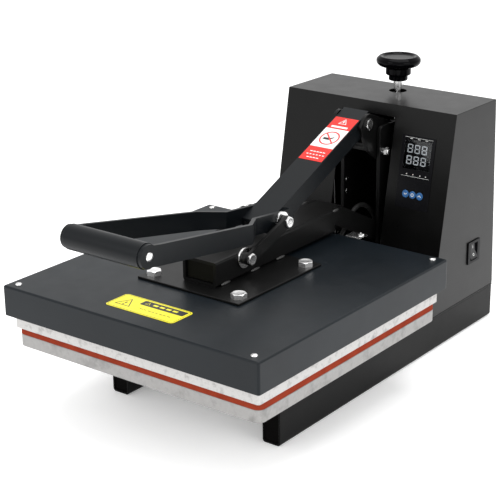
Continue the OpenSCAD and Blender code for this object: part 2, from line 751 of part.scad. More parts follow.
// ---- Upper platen ----
module mount_plate() color(black) difference() {
  translate([0, platen_y, cover_top]) linear_extrude(mount_t) round_rect(mount_w, mount_d, 2);
  at_bolts() translate([0, 0, cover_top - 1]) cylinder(r = stud_r + 0.3, h = mount_t + 2);
}
stud_depth = 12;
module mount_bolts() color(steel) at_bolts() {
  translate([0, 0, platen_top - stud_depth])
    cylinder(r = stud_r, h = mount_z + 1 - platen_top + stud_depth);
  translate([0, 0, mount_z]) difference() {
    cylinder(r = 10, h = 6.2, $fn = 6);
    translate([0, 0, -1]) cylinder(r = stud_r, h = 2);
  }
}
module bolt_spacers() color("#9a9da0") at_bolts() translate([0, 0, platen_top]) difference() {
  cylinder(r = 10, h = cover_top - sheet_t - platen_top);
  translate([0, 0, -1]) cylinder(r = stud_r + 0.3, h = 60);
}

// A block with round upright corners and round top edges
module soft_box(w, d, h, r) hull() at_corners(w / 2 - r, d / 2 - r) {
  cylinder(r = r, h = 1, $fn = 24);
  translate([0, 0, h - r]) sphere(r, $fn = 24);
}
screw_dx = 182;
screw_dy = 187;
module platen_cover() color(black) difference() {
  translate([0, platen_y, cover_z]) soft_box(cover_w, cover_d, cover_h, cover_r);
  translate([0, platen_y, cover_z - 1]) linear_extrude(cover_h - sheet_t + 1)
    round_rect(cover_w - 2 * sheet_t, cover_d - 2 * sheet_t, cover_r - 1);
  at_bolts() translate([0, 0, cover_top - 5]) cylinder(r = stud_r + 0.3, h = 10);
  translate([gland_at[0], cover_back - 9, gland_at[1]]) rotate([-90, 0, 0]) cylinder(r = 5.6, h = 20);
}
module cover_screws() color(steel)
  translate([0, platen_y, cover_top]) at_corners(screw_dx, screw_dy) difference() {
    cylinder(r = 4.2, h = 2.4);
    translate([-2.6, -0.5, 1.4]) cube([5.2, 1, 2]);
    translate([-0.5, -2.6, 1.4]) cube([1, 5.2, 2]);
  }

// Cast platen with tapped holes for the studs
module heat_platen() color(aluminium) difference() {
  translate([0, platen_y, platen_z]) linear_extrude(platen_t) round_rect(platen_w, platen_w, 4);
  at_bolts() translate([0, 0, platen_top - stud_depth - 1]) cylinder(r = stud_r + 0.05, h = 40);
}
element_r = 4;
element_z = platen_top + element_r;
blanket_z = platen_top + 2 * element_r;
module insulation_pad() color("#d9d2bd") difference() {
  translate([0, platen_y, blanket_z]) linear_extrude(cover_top - sheet_t - 3 - blanket_z)
    round_rect(platen_w - 10, platen_w - 10, 8);
  at_bolts() translate([0, 0, blanket_z - 1]) cylinder(r = 11.5, h = 60);
}
// Tubular heater laid in a serpentine on the platen
run_n = 6;
run_pitch = 56;
run_half = 140;
module heating_element() color("#7d7f80") translate([0, platen_y, element_z]) {
  for (i = [0 : run_n - 1]) translate([-run_half, (i - (run_n - 1) / 2) * run_pitch, 0])
    rotate([0, 90, 0]) cylinder(r = element_r, h = 2 * run_half);
  for (i = [0 : run_n - 2]) {
    end = i % 2 == 0 ? 1 : -1;
    translate([end * run_half, (i - (run_n - 2) / 2) * run_pitch, 0])
      rotate([0, 0, end > 0 ? -90 : 90])
        rotate_extrude(angle = 180) translate([run_pitch / 2, 0]) circle(element_r);
  }
}
module caution_label() color("#f2e63a")
  translate([-1.5, platen_y - cover_d / 2 + 48, cover_top])
    linear_extrude(0.4) round_rect(105, 40, 5);

// ---- Heater lead ----
// Zinc angle screwed to the cover's back skirt, with its flange level with the cover's top
bracket_x = [38, 61];
bracket_d = 20;
bracket_t = 1.5;
module earth_bracket() color(steel) translate([0, cover_back, cover_top]) {
  translate([bracket_x[0], 0, -18]) cube([bracket_x[1] - bracket_x[0], bracket_t, 18]);
  translate([bracket_x[0], bracket_t, -bracket_t])
    cube([bracket_x[1] - bracket_x[0], bracket_d - bracket_t, bracket_t]);
  for (x = [bracket_x[0] + 6, bracket_x[1] - 6])
    translate([x, bracket_t, -10]) rotate([-90, 0, 0]) cylinder(r = 3.2, h = 2);
  translate([bracket_x[1] - 6, 13, 0]) cylinder(r = 4, h = 2.2);
}
// Gland in the cover's back skirt that the heater lead comes out of
cover_back = platen_y + cover_d / 2;
gland_at = [12, 150];
lead_r = 3.2;
module lead_gland() color("#1a1a1a") translate([gland_at[0], cover_back, gland_at[1]])
  rotate([-90, 0, 0]) difference() {
    union() {
      translate([0, 0, -8]) cylinder(r = 5.5, h = 8);
      cylinder(r = 9, h = 5, $fn = 6);
      translate([0, 0, 5]) cylinder(r = 6, h = 5);
    }
    translate([0, 0, -9]) cylinder(r = lead_r + 0.3, h = 20);
  }
// A round tube swept along a list of points
function unit(v) = v / norm(v);
function tangent(p, i) =
  unit(p[min(i + 1, len(p) - 1)] - p[max(i - 1, 0)]);
module sweep(p, r, n = 10) {
  rings = [for (i = [0 : len(p) - 1])
    let (t = tangent(p, i), a = unit(cross(t, [1, 0.2, 0.1])), b = cross(t, a))
      for (k = [0 : n - 1]) p[i] + r * (cos(360 * k / n) * a + sin(360 * k / n) * b)];
  sides = [for (i = [0 : len(p) - 2], k = [0 : n - 1])
    [i * n + k, i * n + (k + 1) % n, (i + 1) * n + (k + 1) % n, (i + 1) * n + k]];
  ends = [[for (k = [n - 1 : -1 : 0]) k], [for (k = [0 : n - 1]) (len(p) - 1) * n + k]];
  polyhedron(points = rings, faces = concat(sides, ends), convexity = 6);
}

// Route of the lead on the arm: out of the cover, up in a slack loop, over the arm's pivot
lead_route = [
  [12, 90, 150], [12, 99, 150], [12, 107, 150], [12, 116, 152], [12, 125, 158],
  [12, 133, 166], [12, 141, 175], [12, 150, 183], [12, 160, 188], [12, 170, 189],
  [12, 179, 187], [12, 187, 182.5], [12, 194, 177], [12, 200, 170.5], [12, 205, 163.5],
  [12, 210, 156], [11, 217, 150.5], [10, 224, 147.5], [9, 231, 145]];
// Route of the fixed lead from beside the pivot, through the left plate, to the relay
supply_route = [
  [8, 240, 141], [3, 247, 137.5], [-5, 252, 132], [-15, 257, 125.5], [-27, 261, 117],
  [-36, 263.5, 110], [-44, 266, 101], [-50, 268, 91], [-54, 269, 81], [-57.5, 270, 72],
  [-61, 270, 66.5], [-65.8, 270, 66.5]];
module heater_lead() color("#202020") sweep(lead_route, lead_r);
module supply_lead() color("#202020") sweep(supply_route, lead_r);

rail_left();
rail_right();
rail_end_plugs();
cross_channels();
lower_platen();
silicone_pad();
base_deck();
frame_plate_left();
frame_plate_right();
screw_bridge();
frame_bolts();
housing_shell();
rear_panel();
housing_screws();
control_panel();
digit_segments();
controller_board();
power_relay();
switch_housing();
power_inlet();
rocker_pivot_bolt();
arm_pivot_bolt();
supply_lead();
rocker_plate_left();
rocker_plate_right();
trunnion_nut();
pressure_knob();
pressure_screw();
lever_channel();
handle_plate_left();
handle_plate_right();
grip_tube();
grip_rod();
toggle_pin();
lever_pivot_bolt();
warning_label();
link_left();
link_right();
link_bolts();
swing_arm();
arm_end_plug();
fork_leg_left();
fork_leg_right();
front_pivot_bolt();
mount_plate();
mount_bolts();
bolt_spacers();
platen_cover();
cover_screws();
heat_platen();
insulation_pad();
heating_element();
caution_label();
earth_bracket();
lead_gland();
heater_lead();
switch_rocker();
button_left();
button_middle();
button_right();
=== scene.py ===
"""Clamshell heat press: materials, printed labels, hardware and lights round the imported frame."""

import json
import math

import bmesh
import bpy
from mathutils import Matrix, Vector, noise


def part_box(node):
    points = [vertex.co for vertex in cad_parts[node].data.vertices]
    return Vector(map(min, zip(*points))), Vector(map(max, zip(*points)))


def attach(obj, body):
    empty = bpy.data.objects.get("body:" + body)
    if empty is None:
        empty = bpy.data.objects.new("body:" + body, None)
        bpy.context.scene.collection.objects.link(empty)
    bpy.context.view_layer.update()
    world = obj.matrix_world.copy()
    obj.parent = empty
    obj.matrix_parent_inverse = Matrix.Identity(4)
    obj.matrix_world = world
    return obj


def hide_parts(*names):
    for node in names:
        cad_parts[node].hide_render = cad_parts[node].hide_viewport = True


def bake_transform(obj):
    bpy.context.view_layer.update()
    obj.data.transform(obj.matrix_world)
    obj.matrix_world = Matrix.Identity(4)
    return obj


MM = 0.001
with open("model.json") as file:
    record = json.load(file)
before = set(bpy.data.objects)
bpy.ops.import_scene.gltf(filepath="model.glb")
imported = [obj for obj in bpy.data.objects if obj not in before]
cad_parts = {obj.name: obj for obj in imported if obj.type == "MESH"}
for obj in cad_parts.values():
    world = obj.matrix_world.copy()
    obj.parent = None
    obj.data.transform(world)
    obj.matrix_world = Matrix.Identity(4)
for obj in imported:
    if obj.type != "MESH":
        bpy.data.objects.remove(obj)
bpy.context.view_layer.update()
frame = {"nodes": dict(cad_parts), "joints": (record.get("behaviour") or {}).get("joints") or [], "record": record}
nodes = frame["nodes"]


# ---------------------------------------------------------------- shader helpers
class Shader:
    """A material's node tree with short ways to add nodes to it."""

    def __init__(self, name, **principled):
        self.material = bpy.data.materials.new(name)
        self.material.use_nodes = True
        self.tree = self.material.node_tree
        self.tree.nodes.clear()
        self.output = self.tree.nodes.new("ShaderNodeOutputMaterial")
        self.bsdf = self.tree.nodes.new("ShaderNodeBsdfPrincipled")
        self.link(self.bsdf.outputs[0], self.output.inputs["Surface"])
        for key, value in principled.items():
            self.bsdf.inputs[key.replace("_", " ")].default_value = value

    def link(self, a, b):
        self.tree.links.new(a, b)

    def add(self, kind, **values):
        node = self.tree.nodes.new(kind)
        for key, value in values.items():
            if hasattr(node, key):
                setattr(node, key, value)
            else:
                node.inputs[key.replace("_", " ")].default_value = value
        return node

    def position(self, scale=(1, 1, 1)):
        coords = self.add("ShaderNodeTexCoord")
        mapping = self.add("ShaderNodeMapping", Scale=scale)
        self.link(coords.outputs["Object"], mapping.inputs["Vector"])
        return mapping.outputs[0]

    def noise(self, scale, detail=4, rough=0.55, stretch=(1, 1, 1)):
        node = self.add("ShaderNodeTexNoise", Scale=scale, Detail=detail, Roughness=rough)
        self.link(self.position(stretch), node.inputs["Vector"])
        return node.outputs["Fac"]

    def cells(self, scale):
        node = self.add("ShaderNodeTexVoronoi", Scale=scale)
        self.link(self.position(), node.inputs["Vector"])
        return node.outputs["Distance"]

    def ramp(self, value, stops):
        node = self.add("ShaderNodeValToRGB")
        ramp = node.color_ramp
        while len(ramp.elements) < len(stops):
            ramp.elements.new(0.5)
        for element, (place, colour) in zip(ramp.elements, stops):
            element.position = place
            element.color = (*colour, 1) if len(colour) == 3 else colour
        self.link(value, node.inputs["Fac"])
        return node.outputs["Color"]

    def range(self, value, low, high):
        """Stretches 0 to 1 over low to high."""
        node = self.add("ShaderNodeMapRange")
        for socket, number in zip(node.inputs[3:5], (low, high)):
            socket.default_value = number
        self.link(value, node.inputs[0])
        return node.outputs[0]

    def mix(self, factor, a, b, blend="MIX"):
        node = self.add("ShaderNodeMix", data_type="RGBA", blend_type=blend)
        for socket, value in zip((node.inputs[0], node.inputs[6], node.inputs[7]), (factor, a, b)):
            if isinstance(value, tuple):
                socket.default_value = (*value, 1)
            elif isinstance(value, (int, float)):
                socket.default_value = value
            else:
                self.link(value, socket)
        return node.outputs[2]

    def bump(self, height, strength, distance, below=None):
        node = self.add("ShaderNodeBump", Strength=strength, Distance=distance)
        self.link(height, node.inputs["Height"])
        if below is not None:
            self.link(below, node.inputs["Normal"])
        return node.outputs[0]

    def set(self, socket, value):
        self.link(value, self.bsdf.inputs[socket])


def grey(value, warm=0.0):
    return (value * (1 + warm), value, value * (1 - warm))


# ---------------------------------------------------------------- materials
PEEL_SCALE = 1400
PEEL_STRENGTH = 0.126
PORE_STRENGTH = 0.105


def powder_coat(name, base, light, rough, warm, gloss):
    """Satin powder coat: fine orange peel and soft cloudiness."""
    s = Shader(name, Metallic=0.0, Specular_IOR_Level=gloss)
    cloud = s.noise(9, 3)
    fine = s.noise(PEEL_SCALE * 0.35, 2)
    tint = s.ramp(cloud, [(0.3, grey(base, warm)), (0.7, grey(light, warm))])
    speck = s.range(fine, 0.94, 1.06)
    colour = s.mix(1.0, tint, speck, "MULTIPLY")
    s.set("Base Color", colour)
    s.set("Roughness", s.range(s.noise(40, 4), rough - 0.05, rough + 0.07))
    peel = s.bump(s.noise(PEEL_SCALE, 2, 0.5), PEEL_STRENGTH, 0.0002)
    s.set("Normal", s.bump(s.cells(PEEL_SCALE * 0.5), PORE_STRENGTH, 0.0001, peel))
    return s.material


def cast_aluminium(name, dark, light, mottle, rough):
    """Machined cast plate: cloudy grey mottling, small pits and faint milling lines."""
    s = Shader(name, Metallic=0.55, Specular_IOR_Level=0.5)
    big = s.noise(mottle, 6, 0.65)
    small = s.noise(mottle * 5, 3, 0.6)
    base = s.ramp(big, [(0.30, dark), (0.48, light), (0.60, light), (0.75, grey(sum(dark) / 3 * 1.06))])
    pits = s.ramp(s.cells(420), [(0.02, grey(0.25)), (0.10, grey(1.0))])
    base = s.mix(0.5, base, pits, "MULTIPLY")
    s.set("Base Color", s.mix(0.25, base, small, "SOFT_LIGHT"))
    s.set("Roughness", s.range(small, rough - 0.12, rough + 0.15))
    lines = s.noise(260, 2, 0.5, (1, 1, 9))
    grain = s.bump(lines, 0.15, 0.0002)
    s.set("Normal", s.bump(big, 0.18, 0.0006, grain))
    return s.material


def silicone_sponge(name):
    """Sponge rubber with open pores."""
    s = Shader(name, Roughness=0.75, Specular_IOR_Level=0.03)
    cloud = s.noise(55, 4)
    colour = s.ramp(cloud, [(0.3, (0.190, 0.026, 0.012)), (0.7, (0.245, 0.036, 0.016))])
    s.set("Base Color", colour)
    pores = s.cells(900)
    s.set("Normal", s.bump(pores, 0.45, 0.0003))
    return s.material


def zinc_plate(name, tone, rough):
    """Plated or bare metal with a little cloudiness."""
    s = Shader(name, Metallic=1.0)
    cloud = s.noise(160, 3)
    s.set("Base Color", s.ramp(cloud, [(0.3, grey(tone * 0.82, 0.01)), (0.7, grey(tone, 0.0))]))
    s.set("Roughness", s.range(s.noise(500, 3), rough, rough + 0.16))
    s.set("Normal", s.bump(s.noise(1100, 2), 0.12, 0.0001))
    return s.material


def moulded(name, colour, rough, grain=700, bump=0.12, coat=0.0, gloss=0.5):
    """Moulded plastic or a matt black finish, with a fine grain."""
    s = Shader(name, Roughness=rough, Coat_Weight=coat, Coat_Roughness=0.06, Specular_IOR_Level=gloss)
    cloud = s.noise(30, 3)
    darker = tuple(c * 0.86 for c in colour)
    s.set("Base Color", s.ramp(cloud, [(0.3, darker), (0.7, colour)]))
    s.set("Roughness", s.range(s.noise(120, 3), rough * 0.85, min(1, rough * 1.2)))
    s.set("Normal", s.bump(s.noise(grain, 2), bump, 0.00015))
    return s.material


def brass_material(name):
    s = Shader(name, Metallic=1.0)
    s.set("Base Color", s.ramp(s.noise(140, 4), [(0.3, (0.42, 0.27, 0.09)), (0.7, (0.66, 0.47, 0.20))]))
    s.set("Roughness", s.range(s.noise(700, 3), 0.22, 0.42))
    s.set("Normal", s.bump(s.noise(900, 2, 0.5, (8, 1, 1)), 0.1, 0.0001))
    return s.material


def mineral_wool(name):
    s = Shader(name, Roughness=0.95)
    s.set("Base Color", s.ramp(s.noise(90, 5), [(0.3, (0.50, 0.44, 0.32)), (0.7, (0.78, 0.73, 0.60))]))
    s.set("Normal", s.bump(s.noise(420, 6, 0.7), 0.7, 0.0012))
    return s.material


def print_ink(name, colour, rough=0.38):
    """Laminated print: an even ink with a faint dot screen under clear film."""
    s = Shader(name, Coat_Weight=0.1, Coat_Roughness=0.12, Specular_IOR_Level=0.3)
    dots = s.cells(2200)
    deep = tuple(c * 0.9 for c in colour)
    s.set("Base Color", s.ramp(dots, [(0.15, deep), (0.55, colour)]))
    s.set("Roughness", s.range(s.noise(60, 3), rough - 0.06, rough + 0.08))
    s.set("Normal", s.bump(s.noise(180, 2), 0.06, 0.0003))
    return s.material


def glowing(name, colour, strength):
    """Display segments that give off a little light; print made with it gets a painted glow."""
    s = Shader(name, Roughness=0.4, Emission_Strength=strength)
    s.bsdf.inputs["Emission Color"].default_value = (*colour, 1)
    s.set("Base Color", s.ramp(s.noise(500, 2), [(0.3, tuple(c * 0.8 for c in colour)), (0.7, colour)]))
    return s.material


def smoked_lens(name):
    s = Shader(name, Roughness=0.06, IOR=1.49, Transmission_Weight=1.0)
    s.set("Base Color", s.ramp(s.noise(30, 2), [(0.3, (0.50, 0.52, 0.54)), (0.7, (0.60, 0.62, 0.64))]))
    return s.material


def circuit_board(name):
    s = Shader(name, Roughness=0.35, Coat_Weight=0.3)
    tracks = s.add("ShaderNodeTexBrick", Scale=160)
    tracks.inputs["Color1"].default_value = (0.010, 0.075, 0.030, 1)
    tracks.inputs["Color2"].default_value = (0.014, 0.11, 0.045, 1)
    tracks.inputs["Mortar"].default_value = (0.03, 0.20, 0.08, 1)
    s.link(s.position(), tracks.inputs["Vector"])
    s.set("Base Color", tracks.outputs["Color"])
    s.set("Normal", s.bump(tracks.outputs["Fac"], 0.2, 0.0002))
    return s.material


def rubber_sheath(name):
    s = Shader(name, Roughness=0.5, Specular_IOR_Level=0.2)
    s.set("Base Color", s.ramp(s.noise(80, 3), [(0.3, grey(0.005)), (0.7, grey(0.009))]))
    s.set("Normal", s.bump(s.noise(800, 3), 0.2, 0.0002))
    return s.material


def fired_sheath(name):
    s = Shader(name, Metallic=0.8)
    s.set("Base Color", s.ramp(s.noise(60, 4), [(0.3, (0.16, 0.12, 0.09)), (0.7, (0.34, 0.32, 0.31))]))
    s.set("Roughness", s.range(s.noise(300, 3), 0.4, 0.65))
    return s.material


MATERIALS = {
    "rail_paint": powder_coat("rail_paint", 0.0010, 0.0016, 0.34, 0.0, 0.10),
    "frame_paint": powder_coat("frame_paint", 0.0020, 0.0028, 0.36, 0.0, 0.19),
    "lever_paint": powder_coat("lever_paint", 0.0032, 0.0044, 0.36, -0.3, 0.18),
    "housing_paint": powder_coat("housing_paint", 0.0010, 0.0018, 0.29, 0.02, 0.225),
    "cover_paint": powder_coat("cover_paint", 0.0040, 0.0058, 0.38, -0.5, 0.235),
    "plug_plastic": moulded("plug_plastic", (0.005, 0.005, 0.003), 0.6, 700, 0.12, 0.0, 0.1),
    "lower_plate": cast_aluminium("lower_plate", grey(0.21, 0.02), grey(0.30, 0.02), 40, 0.5),
    "cast_platen": cast_aluminium("cast_platen", grey(0.26, 0.03), grey(0.46, 0.02), 85, 0.42),
    "silicone": silicone_sponge("silicone"),
    "bare_steel": zinc_plate("bare_steel", 0.5, 0.3),
    "zinc": zinc_plate("zinc", 0.88, 0.16),
    "brass": brass_material("brass"),
    "knob_plastic": moulded("knob_plastic", (0.001, 0.001, 0.0014), 0.10, 200, 0.03, 0.0, 0.055),
    "panel_film": moulded("panel_film", (0.004, 0.004, 0.005), 0.25, 300, 0.03, 0.0, 0.12),
    "digits": glowing("digits", (0.84, 0.86, 0.87), 0.5),
    "circuit_board": circuit_board("circuit_board"),
    "relay_case": moulded("relay_case", (0.62, 0.61, 0.56), 0.5),
    "switch_plastic": moulded("switch_plastic", (0.004, 0.004, 0.005), 0.35, 500, 0.08, 0.0, 0.10),
    "paddle_plastic": moulded("paddle_plastic", (0.005, 0.005, 0.006), 0.16, 400, 0.04, 0.0, 0.25),
    "button_plastic": moulded("button_plastic", (0.020, 0.11, 0.30), 0.3, 300, 0.05, 0.1),
    "mineral_wool": mineral_wool("mineral_wool"),
    "element_sheath": fired_sheath("element_sheath"),
    "red_label": print_ink("red_label", (0.66, 0.018, 0.012)),
    "yellow_label": print_ink("yellow_label", (0.80, 0.72, 0.022)),
    "gland_nylon": moulded("gland_nylon", (0.014, 0.014, 0.014), 0.5),
    "lead_rubber": rubber_sheath("lead_rubber"),
}
INK_BLACK = print_ink("ink_black", (0.012, 0.012, 0.012))
INK_WHITE = print_ink("ink_white", (0.72, 0.71, 0.70))
INK_RED = print_ink("ink_red", (0.62, 0.03, 0.03))
# Print on the panel, the buttons and the switch: a small emission, painted light that brightens the marks.
PANEL_MARK_PAINTED_GLOW = glowing("panel_mark", (0.75, 0.76, 0.74), 0.1)
# Unit marks beside the digits: dim print with a small emission, painted light.
UNIT_MARK_PAINTED_GLOW = glowing("unit_mark", (0.30, 0.31, 0.31), 0.05)
BRIGHT_ZINC = zinc_plate("bright_zinc", 0.97, 0.28)
DISPLAY_BLACK = moulded("display_black", (0.005, 0.005, 0.006), 0.28, 300, 0.03, 0.0, 0.16)
SLEEVE_BLACK = moulded("sleeve_black", (0.010, 0.010, 0.010), 0.4, 300, 0.05, 0.0, 0.3)
# Darker, duller copy of the plug plastic for the rail end plugs: painted shade on their front ends.
RAIL_PLUG_PAINTED_SHADE = moulded("rail_plug_painted_shade", (0.0016, 0.0013, 0.0013), 0.6, 700, 0.12, 0.0, 0.03)
LENS = smoked_lens("smoked_lens")
WELD = zinc_plate("weld_bead", 0.08, 0.35)

slot_of = {part["node"]: part["material_slot"] for part in frame["record"]["subparts"]}


# ---------------------------------------------------------------- CAD nodes: soften edges, set finishes
EDGE = {
    "housing_shell": 1.2, "rear_panel": 0.5, "platen_cover": 0.4, "rail_left": 0.4, "rail_right": 0.4,
    "heat_platen": 0.6, "lower_platen": 1.0, "silicone_pad": 0.8, "mount_plate": 0.7, "swing_arm": 0.5,
    "lever_channel": 0.9, "handle_plate_left": 0.8, "handle_plate_right": 0.8, "fork_leg_left": 0.7,
    "fork_leg_right": 0.7, "link_left": 0.8, "link_right": 0.8, "rocker_plate_left": 0.6,
    "rocker_plate_right": 0.6, "frame_plate_left": 0.6, "frame_plate_right": 0.6, "base_deck": 0.5,
    "cross_channels": 0.7, "switch_housing": 0.6, "switch_rocker": 0.5, "power_inlet": 0.6,
    "control_panel": 0.25, "button_left": 0.5, "button_middle": 0.5, "button_right": 0.5,
    "rail_end_plugs": 0.6, "arm_end_plug": 0.5, "screw_bridge": 0.6, "trunnion_nut": 0.6,
    "grip_tube": 0.6, "lead_gland": 0.5, "power_relay": 0.5,
}


def soften(obj, width):
    """Joins the seams of a CAD node's mesh and rounds its sharp edges."""
    if "custom_normal" in obj.data.attributes:
        obj.data.attributes.remove(obj.data.attributes["custom_normal"])
    for poly in obj.data.polygons:
        poly.use_smooth = True
    weld = obj.modifiers.new("weld", "WELD")
    weld.merge_threshold = 2e-5
    flats = obj.modifiers.new("flats", "DECIMATE")
    flats.decimate_type = "DISSOLVE"
    flats.angle_limit = math.radians(1.0)
    bevel = obj.modifiers.new("edge", "BEVEL")
    bevel.width = width * MM
    bevel.segments = 3
    bevel.limit_method = "ANGLE"
    bevel.angle_limit = math.radians(32)
    bevel.face_strength_mode = "FSTR_ALL"
    weighted = obj.modifiers.new("weighted", "WEIGHTED_NORMAL")
    weighted.keep_sharp = True
    weighted.use_face_influence = True


def shade(obj, angle=34):
    """Smooth faces, with edges sharper than the angle kept sharp."""
    for poly in obj.data.polygons:
        poly.use_smooth = True
    obj.data.set_sharp_from_angle(angle=math.radians(angle))


for name, obj in nodes.items():
    obj.data.materials.clear()
    # The rail end plugs take the painted-shade copy of the plug plastic.
    obj.data.materials.append(RAIL_PLUG_PAINTED_SHADE if name == "rail_end_plugs" else MATERIALS[slot_of[name]])
    soften(obj, EDGE.get(name, 0.3))


# ---------------------------------------------------------------- mesh helpers
def new_piece(name, mesh_data, material, body, replaces=()):
    """Makes an object from (vertices in mm, faces), hangs it on its body's empty and hides the CAD nodes it
    replaces.
    """
    mesh = bpy.data.meshes.new(name)
    vertices, faces = mesh_data
    mesh.from_pydata([Vector(v) * MM for v in vertices], [], faces)
    mesh.materials.append(material)
    obj = bpy.data.objects.new(name, mesh)
    bpy.context.scene.collection.objects.link(obj)
    clean = bmesh.new()
    clean.from_mesh(mesh)
    bmesh.ops.remove_doubles(clean, verts=clean.verts, dist=1e-6)
    bmesh.ops.recalc_face_normals(clean, faces=clean.faces)
    clean.to_mesh(mesh)
    clean.free()
    shade(obj)
    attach(obj, body)
    if replaces:
        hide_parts(*replaces)
    return obj


def basis(origin, z_axis, x_hint=(1, 0, 0)):
    """A matrix whose Z is z_axis, with X as near to x_hint as it can be."""
    z = Vector(z_axis).normalized()
    x = Vector(x_hint)
    x = (x - z * x.dot(z)).normalized()
    y = z.cross(x)
    matrix = Matrix((x, y, z)).transposed().to_4x4()
    matrix.translation = Vector(origin)
    return matrix


def join(parts):
    """Several (vertices, faces) as one."""
    vertices, faces = [], []
    for part_vertices, part_faces in parts:
        start = len(vertices)
        vertices += part_vertices
        faces += [[start + i for i in face] for face in part_faces]
    return vertices, faces


def moved(part, matrix):
    vertices, faces = part
    return [matrix @ Vector(v) for v in vertices], faces


def loft(rings):
    """Skins rings that all have the same number of points, and closes both ends."""
    n = len(rings[0])
    vertices = [p for ring in rings for p in ring]
    faces = []
    for k in range(len(rings) - 1):
        for i in range(n):
            j = (i + 1) % n
            faces.append([k * n + i, k * n + j, (k + 1) * n + j, (k + 1) * n + i])
    faces.append(list(range(n))[::-1])
    faces.append([(len(rings) - 1) * n + i for i in range(n)])
    return vertices, faces


def circle_points(r, z, n):
    return [(r * math.cos(2 * math.pi * i / n), r * math.sin(2 * math.pi * i / n), z) for i in range(n)]


def lathe(profile, n=64):
    """Turns (radius, height) points about Z."""
    return loft([circle_points(r, z, n) for r, z in profile])


def fillet(profile, radius, steps=5):
    """Rounds the inner corners of a (radius, height) profile."""
    out = [profile[0]]
    for a, b, c in zip(profile, profile[1:], profile[2:]):
        a, b, c = Vector(a), Vector(b), Vector(c)
        reach = min(radius, (a - b).length * 0.45, (c - b).length * 0.45)
        p, q = b + (a - b).normalized() * reach, b + (c - b).normalized() * reach
        for k in range(steps + 1):
            t = k / steps
            out.append(tuple(p * (1 - t) ** 2 + b * 2 * t * (1 - t) + q * t ** 2))
    out.append(profile[-1])
    return out


def hex_radius(angle, corner):
    """Distance from the middle of a hexagon to its side, at an angle."""
    return corner * math.cos(math.pi / 6) / math.cos((angle % (math.pi / 3)) - math.pi / 6)


def hex_head(corner, height, turn=0.0, dish=0.5, both=False):
    """A hexagon head on z = 0, its corners chamfered as by a lathe; both is for a nut."""
    n = 72
    flat = corner * math.cos(math.pi / 6)
    angles = [2 * math.pi * i / n for i in range(n)]

    def ring(scale, z):
        return [(hex_radius(a, corner) * scale * math.cos(a + turn),
                 hex_radius(a, corner) * scale * math.sin(a + turn), z) for a in angles]

    def chamfer_ring(top):
        points = []
        for a in angles:
            r = hex_radius(a, corner)
            drop = (r - flat * 0.97) * 0.6
            z = height - drop if top else drop
            points.append((r * math.cos(a + turn), r * math.sin(a + turn), z))
        return points

    def circle(r, z):
        return [(r * math.cos(a + turn), r * math.sin(a + turn), z) for a in angles]

    rings = [circle(flat * 0.95, 0), chamfer_ring(False)] if both else [ring(1, 0)]
    rings += [chamfer_ring(True), circle(flat * 0.96, height), circle(flat * 0.80, height - 0.02),
              circle(flat * 0.74, height - dish * 0.5), circle(flat * 0.2, height - dish * 0.5)]
    return loft(rings)


def threaded(r, z0, z1, pitch=1.25, n=32, tip=0.8):
    """A threaded stub from z0 to z1, as rings whose crests drift round to read as a thread."""
    rings = []
    steps = max(4, int((z1 - z0 - tip) / pitch * 4))
    for k in range(steps + 1):
        ring = []
        for i in range(n):
            a = 2 * math.pi * i / n
            z = z0 + (z1 - z0 - tip) * k / steps
            phase = (z / pitch - i / n) % 1.0
            depth = 0.09 * r * (1 - abs(2 * phase - 1))
            ring.append(((r - depth) * math.cos(a), (r - depth) * math.sin(a), z))
        rings.append(ring)
    rings.append(circle_points(r * 0.80, z1, n))
    return loft(rings)


def washer(r_out, r_in, t):
    return lathe(fillet([(r_in, 0), (r_out, 0), (r_out, t), (r_in, t)], 0.3) + [(r_in, 0)], 48)


def pan_head(r, h):
    """A low domed screw head."""
    return lathe([(r * 0.96, 0), (r, h * 0.15), (r * 0.97, h * 0.45), (r * 0.84, h * 0.75),
                  (r * 0.62, h * 0.93), (r * 0.36, h), (r * 0.02, h * 1.01)], 40)


def mid(a, b):
    return (Vector(a) + Vector(b)) / 2


def centre_mm(node):
    low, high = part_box(node)
    return mid(low, high) / MM


JOINTS = {joint["name"]: joint for joint in frame["joints"]}


def joint_mm(name):
    return Vector(JOINTS[name]["pos_m"]) / MM


LEVER_PIVOT = joint_mm("lever_swing")
FRONT_PIVOT = joint_mm("link_swing")
ROCKER_PIVOT = joint_mm("rocker_tilt")
KNOB_AXIS = joint_mm("knob_turn")
TOGGLE = centre_mm("toggle_pin")


# ---------------------------------------------------------------- hardware
ACROSS = basis((0, 0, 0), (1, 0, 0), (0, 1, 0))


def side_pair(build, x_in):
    """The same piece on both sides, standing outwards along X from x_in."""
    return [moved(build, basis((side * x_in, 0, 0), (side, 0, 0), (0, 1, 0))) for side in (-1, 1)]


def at(part, point):
    """Shifts a piece built about x = 0 to the pivot's place in the YZ plane."""
    return moved(part, Matrix.Translation((0, point.y, point.z)))


def cross_bolt(name, point, x_head, head, body, node, shank=(0.0, 38.0), shank_r=5.0, rings=(),
               sleeve=None):
    """A bolt along X: a head on each side, zinc rings and a black sleeve, as the CAD node has them."""
    parts = side_pair(head, x_head)
    x0, x1 = shank
    if x0:
        parts += side_pair(lathe([(shank_r, 0), (shank_r, x1 - x0)], 32), x0)
    else:
        parts.append(moved(lathe([(shank_r, -x1), (shank_r, x1)], 32), ACROSS))
    for radius, start, end in rings:
        parts += side_pair(washer(radius, shank_r + 0.1, end - start), start)
    new_piece(name, at(join(parts), point), MATERIALS["zinc"], body, (node,))
    if sleeve:
        radius, start, end = sleeve
        mesh = join(side_pair(washer(radius, shank_r + 0.1, end - start), start))
        new_piece(name + "_sleeves", at(mesh, point), SLEEVE_BLACK, body)


def rivet_head(r, h):
    return lathe([(r, 0), (r, h * 0.3), (r * 0.93, h * 0.65), (r * 0.75, h * 0.9),
                  (r * 0.4, h), (0.02, h)], 40)


